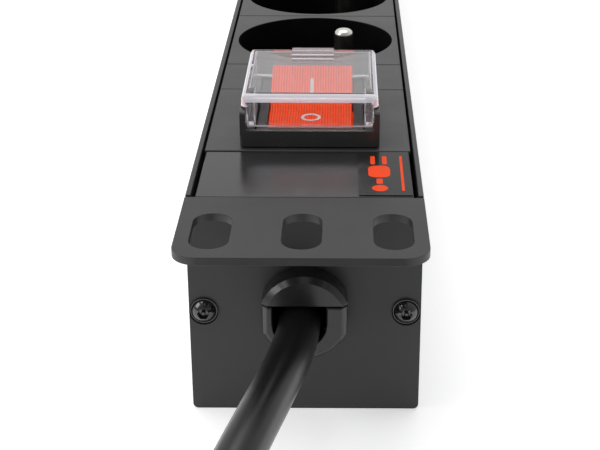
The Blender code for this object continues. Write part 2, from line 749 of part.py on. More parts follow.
def switch_rocker():
    """The rocker about its pivot at rest: a shell that is open below, with a trunnion on either side."""
    shell = prism(rocker_section(ROCKER_RADIUS, ROCKER_VALLEY), "X", -ROCKER_HALF_WIDTH, ROCKER_HALF_WIDTH)
    inner = rocker_section(ROCKER_RADIUS - ROCKER_SHELL, ROCKER_VALLEY - ROCKER_SHELL)
    low = inner[0][1] - 5
    inner = [*inner[1:-1], (-inner[1][0], low), (inner[1][0], low)]
    half = ROCKER_HALF_WIDTH - ROCKER_SHELL
    shell = cut(shell, prism(inner, "X", -half, half))
    for side in (-1, 1):
        xs = sorted((side * (ROCKER_HALF_WIDTH - 0.7), side * (BODY_HALF_WIDTH - 0.8)))
        shell = united(shell, prism(circle(0, 0, TRUNNION_RADIUS, 14), "X", *xs))
    tilted = moved(shell, Matrix.Rotation(ROCKER_SLOPE, 4, "X"))
    return shifted(tilted, SWITCH_X, SWITCH_Y, PIVOT_Z)


def rocker_lamp():
    """The glow lamp inside the rocker, a glass capsule across it."""
    length, radius = 5.0, 1.5
    profile = [(0, -length), (radius * 0.7, 0.45 - length), (radius, 1.5 - length)]
    profile += [(r, -z) for r, z in reversed(profile)]
    capsule = moved(turned(profile, 10), Matrix.Rotation(math.pi / 2, 4, "Y"))
    return shifted(capsule, SWITCH_X, SWITCH_Y, PIVOT_Z - 1.3)


def cover_solid(inset, half_width, front, back):
    """The cover's outer form, or the form of its inside at a wall's thickness from it."""
    top = COVER_Z[1] - inset
    low = COVER_Z[0] - (5 if inset else 0)
    edges = (0 if inset else COVER_LOWER_EDGE, 0, max(1.5 - inset, 0.4), max(2.2 - inset, 0.9))
    side = rounded(front + inset, back - inset, low, top, edges, 5)
    round_corner = max(1.6 - inset, 0.5)
    plan = rounded(
        SWITCH_X - half_width + inset,
        SWITCH_X + half_width - inset,
        front + inset,
        back - inset,
        (round_corner,) * 4,
        4,
    )
    width = rounded(
        SWITCH_X - half_width + inset,
        SWITCH_X + half_width - inset,
        low,
        top,
        (0, 0, round_corner, round_corner),
        4,
    )
    return common(
        prism(side, "X", SWITCH_X - 30, SWITCH_X + 30),
        prism(plan, "Z", low - 1, top + 1),
        prism(width, "Y", front - 5, back + 5),
    )


def switch_cover():
    """The clear cover: a shell open below, stepped in at the hinge ears, with a ribbed thumb edge."""
    front, back = SWITCH_Y - COVER_HALF_LENGTH, SWITCH_Y + COVER_HALF_LENGTH
    shell = cover_solid(0, COVER_HALF_WIDTH, front, back)
    notch = [(HINGE_Y - 6, COVER_Z[0] - 1), (HINGE_Y + COVER_NOTCH_RADIUS, COVER_Z[0] - 1)]
    notch += arc(HINGE_Y, HINGE_Z, COVER_NOTCH_RADIUS, 0, 90, 6)
    notch.append((HINGE_Y - 6, HINGE_Z + COVER_NOTCH_RADIUS))
    notches = []
    for side in (-1, 1):
        xs = sorted((SWITCH_X + side * COVER_NECK_HALF_WIDTH, SWITCH_X + side * 20))
        notches.append(prism(notch, "X", *xs))
    shell = cut(shell, joined(*notches))
    step_y = HINGE_Y + COVER_NOTCH_RADIUS + COVER_WALL
    wide = cover_solid(COVER_WALL, COVER_HALF_WIDTH, front, back)
    wide = cut(wide, box((-40, front - 5, 30), (40, step_y, HINGE_Z + COVER_NOTCH_RADIUS + COVER_WALL)))
    neck = cover_solid(COVER_WALL, COVER_NECK_HALF_WIDTH, front, back)
    shell = cut(shell, united(wide, neck))
    lip = rounded(back - 1, back + 1.0, COVER_Z[1] - 1.7, COVER_Z[1] - 0.1, (0, 0.5, 0.5, 0), 3)
    shell = united(shell, prism(lip, "X", SWITCH_X - THUMB_HALF_WIDTH, SWITCH_X + THUMB_HALF_WIDTH))
    for offset in (7.6, 10.6, 13.6):
        y = SWITCH_Y + offset
        rib = rounded(y - 0.4, y + 0.4, COVER_Z[1] - 0.5, COVER_Z[1] + 0.3, (0, 0, 0.25, 0.25), 2)
        shell = united(shell, prism(rib, "X", SWITCH_X - THUMB_HALF_WIDTH, SWITCH_X + THUMB_HALF_WIDTH))
    for side in (-1, 1):
        spread = (COVER_NECK_HALF_WIDTH - 0.6, FRAME_HALF_WIDTH - 0.3)
        xs = sorted(SWITCH_X + side * x for x in spread)
        shell = united(shell, prism(circle(HINGE_Y, HINGE_Z, STUB_RADIUS, 12), "X", *xs))
    return shell


def terminal_tab(x):
    low, high = TAB_Z
    half_y, half_x = TAB_WIDTH / 2, TAB_THICKNESS / 2
    y = SWITCH_Y - TAB_Y
    return box((x - half_x, y - half_y, low), (x + half_x, y + half_y, high))


def output_link(x):
    """A stamped link: the switch's outgoing tab, with a foot that runs to its busbar's riser."""
    y = SWITCH_Y + TAB_Y
    near, far = y - TAB_WIDTH / 2, y + TAB_WIDTH / 2
    end = BARS_START_Y + RISER_LENGTH - 0.5
    outline = [(near, TAB_Z[0] - 4), (end, TAB_Z[0] - 4), (end, TAB_Z[0]), (far, TAB_Z[0])]
    outline += [(far, TAB_Z[1]), (near, TAB_Z[1])]
    return prism(outline, "X", x - TAB_THICKNESS / 2, x + TAB_THICKNESS / 2)


def add_switch(finishes):
    part("switch_frame", switch_frame(), finishes["satin_plastic"])
    part("switch_body", switch_body(), finishes["inner_plastic"])
    rocker_pivot = pivot("rocker_axis", (SWITCH_X, SWITCH_Y, PIVOT_Z))
    part("switch_rocker", switch_rocker(), finishes["rocker"], parent=rocker_pivot)
    part("rocker_lamp", rocker_lamp(), finishes["lamp"], parent=rocker_pivot)
    cover_pivot = pivot("cover_axis", (SWITCH_X, HINGE_Y, HINGE_Z))
    part("switch_cover", switch_cover(), finishes["clear"], parent=cover_pivot)
    part("switch_tab_live", terminal_tab(TAB_X), finishes["brass"])
    part("switch_tab_neutral", terminal_tab(-TAB_X), finishes["brass"])
    part("live_link", output_link(TAB_X), finishes["brass"])
    part("neutral_link", output_link(-TAB_X), finishes["brass"])


# Strain relief, cord and plug ---------------------------------------------------


def gland_form():
    """The whole bush as one solid: chamfered head, neck through the end plate and barb behind it."""
    outer = -END_Y - GAP
    middle = (GLAND_X, GLAND_Z)
    rim = flatted_circle(*middle, HEAD_RADIUS, HEAD_FLAT, 12)
    nose = flatted_circle(*middle, HEAD_RADIUS - HEAD_CHAMFER, HEAD_FLAT - HEAD_CHAMFER, 12)
    tip = outer - HEAD_LENGTH
    head = lofted([nose, rim, rim], "Y", (tip, tip + HEAD_CHAMFER, outer))
    neck = prism(flatted_circle(*middle, NECK_RADIUS, NECK_FLAT), "Y", outer - 1, CORD_INNER_Y - 1)
    barb = prism(flatted_circle(*middle, BARB_RADIUS, NECK_FLAT), "Y", GAP - INNER_Y, 2.5 - INNER_Y)
    return united(head, neck, barb)


def strain_relief_jaw():
    """The lower half, with the U-shaped slot that the cord lies in."""
    slot = arc(CORD_X, JAW_SLOT_Z, JAW_SLOT_RADIUS, 180, 360, 10)
    slot += [(CORD_X + JAW_SLOT_RADIUS, 40), (CORD_X - JAW_SLOT_RADIUS, 40)]
    above = box((-20, -240, PARTING_Z), (20, -190, 60))
    return cut(gland_form(), above, prism(slot, "Y", -240, -190))


def strain_relief_wedge():
    """The upper half, pressed down on the cord."""
    return cut(gland_form(), box((-20, -240, -10), (20, -190, PARTING_Z + GAP)))


def cord_hank():
    """The outer form of the hank: a round-cornered section swept along both runs and round both ends."""
    edges = (HANK_RADII[0] - CORD_RADIUS, HANK_RADII[1] + CORD_RADIUS, HANK_Z, HANK_TOP_Z)
    section = rounded(*edges, (HANK_CORNER,) * 4, 3)
    ends = ((HANK_NEAR_Y, 0), (HANK_NEAR_Y - HANK_RUN, 180))
    stations = [(y, math.radians(start + turn)) for y, start in ends for turn in range(0, 181, 15)]
    shape = bmesh.new()
    rings = [
        [shape.verts.new((r * math.cos(angle), y + r * math.sin(angle), z)) for r, z in section]
        for y, angle in stations
    ]
    for here, there in zip(rings, rings[1:] + rings[:1]):
        for n in range(len(section)):
            m = (n + 1) % len(section)
            shape.faces.new((here[n], here[m], there[m], there[n]))
    return finished(shape, "hank")


def hank_tie():
    """The band round the hank's turns, at its end away from the strip."""
    inside = HANK_RADII[0] - CORD_RADIUS
    sag = inside - math.sqrt(inside**2 - (TIE_WIDTH / 2) ** 2)  # the turns curve away from the flat band
    far_y = HANK_NEAR_Y - HANK_RUN
    edges = (far_y - HANK_RADII[1] - CORD_RADIUS - GAP, far_y - inside + sag + GAP)
    thick = TIE_THICKNESS
    outer = rounded(edges[0] - thick, edges[1] + thick, 0, HANK_TOP_Z + GAP + thick, (2, 2, 2, 2), 3)
    inner = rounded(edges[0], edges[1], HANK_Z - GAP, HANK_TOP_Z + GAP, (0, 0, 0, 0))
    band = prism(outer, "X", -TIE_WIDTH / 2, TIE_WIDTH / 2)
    return cut(band, prism(inner, "X", -TIE_WIDTH, TIE_WIDTH))


def plug_body():
    """The plug's moulding about its axis, with side grooves, an earth hole and a pocket for the insert."""
    body = turned([(0, 0), *PLUG_PROFILE, (0, PLUG_LENGTH)], 28)
    half_u, half_v = INSERT_HALF[0] + GAP, INSERT_HALF[1] + GAP
    pocket = box((-half_u, -half_v, PLUG_LENGTH - INSERT_DEPTH - GAP), (half_u, half_v, PLUG_LENGTH + 1))
    earth = prism(circle(0, EARTH_OFFSET, APERTURE_RADIUS, 14), "Z", PLUG_LENGTH - 15, PLUG_LENGTH + 1)
    groove = ((-2.8, -2, PLUG_LENGTH - 14), (2.8, 2, PLUG_LENGTH + 1))
    grooves = [shifted(box(*groove), y=side * 18) for side in (-1, 1)]
    return cut(body, pocket, joined(earth, *grooves))


def plug_insert():
    """The pin carrier in the plug's face, with both pins."""
    low = PLUG_LENGTH - INSERT_DEPTH
    carrier = box((-INSERT_HALF[0], -INSERT_HALF[1], low), (*INSERT_HALF, PLUG_LENGTH))
    tip = PLUG_LENGTH + PLUG_PIN_LENGTH
    for side in (-1, 1):
        pin = turned([(0, low + 3), (PIN_RADIUS, low + 3), (PIN_RADIUS, tip - 1.4), (1.3, tip), (0, tip)], 14)
        carrier = united(carrier, shifted(pin, side * PLUG_PIN_OFFSET))
    return carrier


def add_cord(finishes):
    part("strain_relief_jaw", strain_relief_jaw(), finishes["gland"])
    part("strain_relief_wedge", strain_relief_wedge(), finishes["gland"])
    cable("mains_cord", CORD_ROUTE, CORD_RADIUS, finishes["cord"], 12, 8.0)
    cable("mains_cord_tail", TAIL_ROUTE, CORD_RADIUS, finishes["cord"], 12, 7.0)
    part("mains_cord_hank", cord_hank(), finishes["cord"])
    part("hank_tie", hank_tie(), finishes["gland"])
    lay = Matrix.Translation(PLUG_BACK) @ Matrix.Rotation(math.radians(PLUG_TILT - 90), 4, "X")
    part("plug_body", moved(plug_body(), lay), finishes["cord"], origin=PLUG_BACK)
    part("plug_pin_insert", moved(plug_insert(), lay), finishes["pin"], origin=PLUG_BACK)


CORE_RADIUS = 1.2
CORE_RING = 1.5


def core_start(angle):
    """Where a core leaves the cord's inner end, on a ring round the cord's centre."""
    x = CORD_X + CORE_RING * math.cos(math.radians(angle))
    z = CORD_Z + CORE_RING * math.sin(math.radians(angle))
    return [(x, CORD_INNER_Y + GAP, z), (x, CORD_INNER_Y + 3, z)]


def add_cores(finishes):
    tab_y, tab_z = SWITCH_Y - TAB_Y, TAB_Z[0] - GAP
    live = core_start(30) + [(4.0, -197, 19.5), (6.0, -189, 13.0), (TAB_X, tab_y - 2, 9.4)]
    live += [(TAB_X, tab_y, 11.0), (TAB_X, tab_y, tab_z)]
    cable("live_core", live, CORE_RADIUS, finishes["live"], 8, 4.0)
    neutral = core_start(150) + [(-5.0, -197, 19.5), (-6.5, -189, 13.0), (-TAB_X, tab_y - 2, 9.4)]
    neutral += [(-TAB_X, tab_y, 11.0), (-TAB_X, tab_y, tab_z)]
    cable("neutral_core", neutral, CORE_RADIUS, finishes["neutral"], 8, 4.0)
    bar_x = sum(EARTH_BAR_X) / 2
    earth = core_start(270) + [(1.0, -197, 14.0), (5.0, -190, 6.0), (11.0, -181, 3.6), (14.0, -170, 3.6)]
    earth += [(14.5, -160, 7.0), (14.0, -155, 14.0), (bar_x, -152.5, 19.4), (bar_x, BARS_START_Y - GAP, 20.1)]
    cable("earth_core", earth, CORE_RADIUS, finishes["earth"], 8, 4.0)


def main():
    for old in list(bpy.data.objects):
        bpy.data.objects.remove(old)
    finishes = {
        "anodised": material("black_anodised", (0.03, 0.03, 0.031), 0.42, 0.6),
        "sheet": material("black_powder_coat", (0.026, 0.026, 0.027), 0.5, 0.2),
        "steel": material("black_steel", (0.015, 0.015, 0.016), 0.2, 0.8),
        "satin_plastic": material("black_plastic", (0.03, 0.03, 0.03), 0.4),
        "inner_plastic": material("dark_plastic", (0.02, 0.02, 0.02), 0.5),
        "tray": material("grey_plastic", (0.25, 0.25, 0.24), 0.5),
        "label": material("label_film", (0.02, 0.02, 0.02), 0.25),
        "pin": material("nickel_pin", (0.7, 0.7, 0.68), 0.25, 1.0),
        "brass": material("brass", (0.7, 0.5, 0.2), 0.35, 1.0),
        "rocker": material("orange_rocker", (0.85, 0.1, 0.01), 0.3),
        "lamp": material("lamp_glass", (0.9, 0.4, 0.2), 0.1),
        "clear": material("clear_plastic", (0.9, 0.9, 0.9), 0.05, 0.0, 0.3),
        "gland": material("gland_nylon", (0.02, 0.02, 0.02), 0.35),
        "cord": material("cord_sheath", (0.018, 0.018, 0.018), 0.45),
        "live": material("live_insulation", (0.2, 0.07, 0.03), 0.5),
        "neutral": material("neutral_insulation", (0.03, 0.1, 0.5), 0.5),
        "earth": material("earth_insulation", (0.35, 0.5, 0.04), 0.5),
    }
    add_profile(finishes["anodised"])
    add_rack_ears(finishes["sheet"])
    add_screws(finishes["steel"])
    add_plates(finishes["satin_plastic"])
    add_label(finishes["label"])
    add_sockets(finishes["satin_plastic"], finishes["pin"], finishes["inner_plastic"])
    add_busbars(finishes["brass"], finishes["tray"])
    add_switch(finishes)
    add_cord(finishes)
    add_cores(finishes)


main()
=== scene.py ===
"""The looks of the rack power strip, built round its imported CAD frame.

Lengths below are in millimetres unless a name ends in _M; the frame and every mesh are in metres.
"""

import json
import math

import bmesh
import bpy
from mathutils import Matrix, Vector


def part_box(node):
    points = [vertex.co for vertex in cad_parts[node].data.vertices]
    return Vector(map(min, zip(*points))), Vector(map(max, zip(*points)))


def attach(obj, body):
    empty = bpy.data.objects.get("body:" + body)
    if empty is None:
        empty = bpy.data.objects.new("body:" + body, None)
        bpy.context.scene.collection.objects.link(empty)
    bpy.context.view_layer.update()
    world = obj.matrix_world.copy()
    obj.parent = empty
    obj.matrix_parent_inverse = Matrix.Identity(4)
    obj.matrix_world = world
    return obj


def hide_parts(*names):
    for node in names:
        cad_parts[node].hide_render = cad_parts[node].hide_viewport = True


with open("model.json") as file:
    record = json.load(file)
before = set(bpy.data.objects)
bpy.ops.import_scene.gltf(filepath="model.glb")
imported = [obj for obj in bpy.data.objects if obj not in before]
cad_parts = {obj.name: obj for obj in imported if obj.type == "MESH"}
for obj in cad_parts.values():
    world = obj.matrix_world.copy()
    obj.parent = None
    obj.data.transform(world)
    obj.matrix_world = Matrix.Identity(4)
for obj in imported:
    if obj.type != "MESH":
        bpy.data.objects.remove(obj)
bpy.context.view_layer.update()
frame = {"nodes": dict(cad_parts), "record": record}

MM = 0.001
NODES = frame["nodes"]
RECORD = frame["record"]
BODY_OF = {node: body for body, nodes in RECORD["behaviour"]["bodies"].items() for node in nodes}
SLOT_OF = {part["node"]: part["material_slot"] for part in RECORD["subparts"]}


def low(node):
    """A node's lowest corner in millimetres."""
    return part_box(node)[0] / MM


def high(node):
    """A node's highest corner in millimetres."""
    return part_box(node)[1] / MM


def middle(node):
    """The middle of a node's box in millimetres."""
    return (low(node) + high(node)) / 2


# Camera -----------------------------------------------------------------------

CAMERA_PLACE = (7.1, -452.15, 145.2)
CAMERA_PITCH = math.radians(24.04)  # below the horizon
CAMERA_YAW = math.radians(0.06)
CAMERA_ROLL = 0.0052
CAMERA_LENS = 84.1
CAMERA_SENSOR = 36.0
CAMERA_SHIFT = (-0.0738, -0.0052)


def add_camera():
    """A long lens above the end where the cord leaves, shifted to frame the strip."""
    data = bpy.data.cameras.new("view")
    data.lens = CAMERA_LENS
    data.sensor_width = CAMERA_SENSOR
    data.shift_x, data.shift_y = CAMERA_SHIFT
    data.clip_start = 0.01
    data.clip_end = 20.0
    camera = bpy.data.objects.new("view", data)
    turn = Matrix.Rotation(-CAMERA_YAW, 4, "Z") @ Matrix.Rotation(math.pi / 2 - CAMERA_PITCH, 4, "X")
    roll = Matrix.Rotation(CAMERA_ROLL, 4, "Z")
    camera.matrix_world = Matrix.Translation(Vector(CAMERA_PLACE) * MM) @ turn @ roll
    bpy.context.scene.collection.objects.link(camera)
    bpy.context.scene.camera = camera


# Meshes -----------------------------------------------------------------------


def arc(centre_u, centre_v, radius, start, end, steps):
    """Points round a circle from one angle to another, in degrees."""
    angles = [math.radians(start + (end - start) * n / steps) for n in range(steps + 1)]
    return [(centre_u + radius * math.cos(a), centre_v + radius * math.sin(a)) for a in angles]


def rounded(low_u, high_u, low_v, high_v, radius, steps=6):
    """A rectangle's outline with rounded corners."""
    points = arc(low_u + radius, low_v + radius, radius, 180, 270, steps)
    points += arc(high_u - radius, low_v + radius, radius, 270, 360, steps)
    points += arc(high_u - radius, high_v - radius, radius, 0, 90, steps)
    return points + arc(low_u + radius, high_v - radius, radius, 90, 180, steps)


def finished(shape, name):
    """The bmesh, built in millimetres, as a mesh in metres with its faces pointing out."""
    bmesh.ops.remove_doubles(shape, verts=shape.verts, dist=1e-4)
    bmesh.ops.recalc_face_normals(shape, faces=shape.faces)
    bmesh.ops.scale(shape, vec=(MM, MM, MM), verts=shape.verts)
    mesh = bpy.data.meshes.new(name)
    shape.to_mesh(mesh)
    shape.free()
    return mesh


PLANES = {
    "X": lambda u, v, w: (w, u, v),
    "Y": lambda u, v, w: (u, w, v),
    "Z": lambda u, v, w: (u, v, w),
}


def prism(outline, along, start, end):
    """The outline, in the plane across an axis, extruded along that axis."""
    shape = bmesh.new()
    place = PLANES[along]
    near = [shape.verts.new(place(u, v, start)) for u, v in outline]
    far = [shape.verts.new(place(u, v, end)) for u, v in outline]
    shape.faces.new(near)
    shape.faces.new(far)
    count = len(outline)
    for n in range(count):
        m = (n + 1) % count
        shape.faces.new((near[n], near[m], far[m], far[n]))
    return finished(shape, "prism")


def turned(profile, steps):
    """A profile of (radius, height) points turned about Z; a radius of 0 closes an end."""
    shape = bmesh.new()
    rings = []
    for radius, height in profile:
        if radius == 0:
            rings.append([shape.verts.new((0, 0, height))] * steps)
            continue
        angles = [2 * math.pi * n / steps for n in range(steps)]
        rings.append([shape.verts.new((radius * math.cos(a), radius * math.sin(a), height)) for a in angles])
    for lower, upper in zip(rings, rings[1:]):
        for n in range(steps):
            m = (n + 1) % steps
            shape.faces.new(list(dict.fromkeys([lower[n], lower[m], upper[m], upper[n]])))
    return finished(shape, "turned")


def flat_ring(radius, half_width, bottom, top, steps=40):
    """A flat ring about Z, with the radius at the middle of its width."""
    shape = bmesh.new()
    inner, outer = radius - half_width, radius + half_width
    profile = [(inner, bottom), (outer, bottom), (outer, top), (inner, top)]
    rings = []
    for n in range(steps):
        angle = 2 * math.pi * n / steps
        rings.append([shape.verts.new((r * math.cos(angle), r * math.sin(angle), z)) for r, z in profile])
    for n in range(steps):
        here, there = rings[n], rings[(n + 1) % steps]
        for k in range(4):
            m = (k + 1) % 4
            shape.faces.new((here[k], here[m], there[m], there[k]))
    return finished(shape, "ring")


def combined(base, other, operation):
    """The mesh that a Boolean makes of two: DIFFERENCE or UNION."""
    pair = [bpy.data.objects.new("operand", mesh) for mesh in (base, other)]
    for operand in pair:
        bpy.context.scene.collection.objects.link(operand)
    modifier = pair[0].modifiers.new("combine", "BOOLEAN")
    modifier.object = pair[1]
    modifier.operation = operation
    modifier.solver = "EXACT"
    bpy.context.view_layer.update()
    graph = bpy.context.evaluated_depsgraph_get()
    result = bpy.data.meshes.new_from_object(pair[0].evaluated_get(graph))
    for operand in pair:
        bpy.data.objects.remove(operand)
    return result


def moved(mesh, matrix):
    """The mesh turned or shifted; a shift is in millimetres."""
    placed = matrix.copy()
    placed.translation = placed.translation * MM
    mesh.transform(placed)
    return mesh


SHARP_ANGLE = 32  # degrees between two faces from which their shared edge is sharp and gets rounded


def add_piece(name, mesh, finish, node, replaces=(), edge=0.0, segments=2, sharp=SHARP_ANGLE):
    """A piece that rides with a CAD node's body, with its edges rounded by the given width."""
    mesh.materials.clear()
    mesh.materials.append(finish)
    mesh.shade_smooth()
    mesh.set_sharp_from_angle(angle=math.radians(sharp))
    piece = bpy.data.objects.new(name, mesh)
    bpy.context.scene.collection.objects.link(piece)
    if edge:
        bevel = piece.modifiers.new("edges", "BEVEL")
        bevel.width = edge * MM
        bevel.segments = segments
        bevel.limit_method = "ANGLE"
        bevel.angle_limit = math.radians(sharp)
        bevel.harden_normals = True
        bevel.miter_outer = "MITER_ARC"
    shading = piece.modifiers.new("even_shading", "WEIGHTED_NORMAL")
    shading.keep_sharp = True
    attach(piece, BODY_OF[node])
    if replaces:
        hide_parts(*replaces)
    return piece


WELD_DISTANCE = 1e-6  # metres
FLAT_ANGLE = 0.5  # degrees


def refined(node, finish, edge, segments=2, sharp=SHARP_ANGLE):
    """A copy of a CAD node's shape with its flat faces made whole and its edges rounded.

    A flat face with a notch or hole in it is triangulated, because rounding can close over the notch.
    """
    mesh = NODES[node].data.copy()
    shape = bmesh.new()
    shape.from_mesh(mesh)
    bmesh.ops.remove_doubles(shape, verts=shape.verts, dist=WELD_DISTANCE)
    flat = math.radians(FLAT_ANGLE)
    bmesh.ops.dissolve_limit(shape, angle_limit=flat, verts=shape.verts, edges=shape.edges)
    notched = [face for face in shape.faces if not all(loop.is_convex for loop in face.loops)]
    bmesh.ops.triangulate(shape, faces=notched)
    shape.to_mesh(mesh)
    shape.free()
    return add_piece(f"{node}_detailed", mesh, finish, node, [node], edge, segments, sharp)


# Materials --------------------------------------------------------------------


def new_material(name):
    """A new material with its node tree and its shader."""
    made = bpy.data.materials.new(name)
    made.use_nodes = True
    return made, made.node_tree, made.node_tree.nodes["Principled BSDF"]


def noise(tree, scale, detail=3.0, stretch=(1, 1, 1)):
    """A noise texture in the object's own space, with about scale bumps to a metre."""
    place = tree.nodes.new("ShaderNodeTexCoord")
    mapping = tree.nodes.new("ShaderNodeMapping")
    mapping.inputs["Scale"].default_value = stretch
    texture = tree.nodes.new("ShaderNodeTexNoise")
    texture.inputs["Scale"].default_value = scale
    texture.inputs["Detail"].default_value = detail
    tree.links.new(place.outputs["Object"], mapping.inputs["Vector"])
    tree.links.new(mapping.outputs["Vector"], texture.inputs["Vector"])
    return texture.outputs["Fac"]


TEXTURE_RANGE = (0.3, 0.7)  # where nearly all values of a noise texture lie


def ranged(tree, source, start, end):
    """A texture's middle range spread from one value to another."""
    spread = tree.nodes.new("ShaderNodeMapRange")
    spread.inputs["From Min"].default_value, spread.inputs["From Max"].default_value = TEXTURE_RANGE
    spread.inputs["To Min"].default_value = start
    spread.inputs["To Max"].default_value = end
    tree.links.new(source, spread.inputs["Value"])
    return spread.outputs["Result"]


def mixed(tree, source, one, other):
    """A colour between two, by a texture."""
    ramp = tree.nodes.new("ShaderNodeValToRGB")
    for stop, position, colour in zip(ramp.color_ramp.elements, TEXTURE_RANGE, (one, other), strict=True):
        stop.position = position
        stop.color = (*colour, 1)
    tree.links.new(source, ramp.inputs["Fac"])
    return ramp.outputs["Color"]


def bumped(tree, shader, source, strength, depth):
    """Bumps of the given depth in millimetres, by a texture."""
    bump = tree.nodes.new("ShaderNodeBump")
    bump.inputs["Strength"].default_value = strength
    bump.inputs["Distance"].default_value = depth * MM
    tree.links.new(source, bump.inputs["Height"])
    tree.links.new(bump.outputs["Normal"], shader.inputs["Normal"])


BLOTCHES_PER_METRE = 90


def grained(
    name, dark, light, roughness, grain, strength, depth=0.02, metallic=0.0, specular=0.5, stretch=(1, 1, 1)
):
    """A finish with slight blotches of colour, uneven gloss and a fine grain, measured in millimetres."""
    made, tree, shader = new_material(name)
    blotches = noise(tree, BLOTCHES_PER_METRE, 4, stretch)
    fine = noise(tree, 1 / (grain * MM), 2, stretch)
    tree.links.new(mixed(tree, blotches, dark, light), shader.inputs["Base Color"])
    tree.links.new(ranged(tree, blotches, *roughness), shader.inputs["Roughness"])
    shader.inputs["Metallic"].default_value = metallic
    shader.inputs["Specular IOR Level"].default_value = specular
    bumped(tree, shader, fine, strength, depth)
    return made


def grey(value):
    """A very slightly cool grey."""
    return (value, value, value * 1.01)


def clear_plastic(name, tint, clearness, roughness):
    """Acrylic with a faint tint and flow marks in its gloss; a clearness under 1 makes it milky."""
    made, tree, shader = new_material(name)
    shader.inputs["Base Color"].default_value = (*tint, 1)
    shader.inputs["Transmission Weight"].default_value = clearness
    shader.inputs["IOR"].default_value = 1.49
    flow = noise(tree, 160, 2, (1, 0.3, 1))
    tree.links.new(ranged(tree, flow, *roughness), shader.inputs["Roughness"])
    bumped(tree, shader, flow, 0.1, 0.01)
    return made


RIB_PITCH = 0.55
RIB_DEPTH = 0.05


def rocker_plastic():
    """Translucent orange plastic with fine ribs along the strip, with painted glow for the lamp's light from
    inside.
    """
    made, tree, shader = new_material("glowing_orange")
    place = tree.nodes.new("ShaderNodeTexCoord")
    ribs = tree.nodes.new("ShaderNodeTexWave")
    ribs.bands_direction = "X"
    ribs.inputs["Scale"].default_value = 2 * math.pi / (20 * RIB_PITCH * MM)
    ribs.inputs["Distortion"].default_value = 0.6
    ribs.inputs["Detail"].default_value = 1.0
    tree.links.new(place.outputs["Object"], ribs.inputs["Vector"])
    colour = mixed(tree, ribs.outputs["Fac"], (0.5, 0.03, 0.001), (0.75, 0.057, 0.002))
    tree.links.new(colour, shader.inputs["Base Color"])
    # Painted glow: the emission stands in for the lamp's light shining through the plastic and for studio
    # light that the clear cover keeps off the rocker.
    tree.links.new(colour, shader.inputs["Emission Color"])
    shader.inputs["Emission Strength"].default_value = 0.56
    shader.inputs["Specular IOR Level"].default_value = 0.1
    shader.inputs["Coat Weight"].default_value = 0.04
    shader.inputs["Coat Roughness"].default_value = 0.08
    tree.links.new(ranged(tree, noise(tree, 400), 0.22, 0.34), shader.inputs["Roughness"])
    bumped(tree, shader, ribs.outputs["Fac"], 0.12, RIB_DEPTH)
    return made


def lamp_glass():
    """The lamp under the rocker, lit."""
    made, tree, shader = new_material("lamp_glass")
    shader.inputs["Emission Color"].default_value = (1.0, 0.35, 0.08, 1)
    shader.inputs["Emission Strength"].default_value = 3.0
    colour = mixed(tree, noise(tree, 600), (0.9, 0.3, 0.1), (1.0, 0.5, 0.2))
    tree.links.new(colour, shader.inputs["Base Color"])
    shader.inputs["Roughness"].default_value = 0.1
    return made


def earth_stripes():
    """Green insulation with a yellow stripe along it."""
    made, tree, shader = new_material("green_yellow")
    place = tree.nodes.new("ShaderNodeTexCoord")
    stripe = tree.nodes.new("ShaderNodeTexWave")
    stripe.bands_direction = "X"
    stripe.inputs["Scale"].default_value = 90
    tree.links.new(place.outputs["Object"], stripe.inputs["Vector"])
    colour = mixed(tree, stripe.outputs["Fac"], (0.03, 0.22, 0.03), (0.75, 0.6, 0.02))
    tree.links.new(colour, shader.inputs["Base Color"])
    shader.inputs["Roughness"].default_value = 0.45
    return made


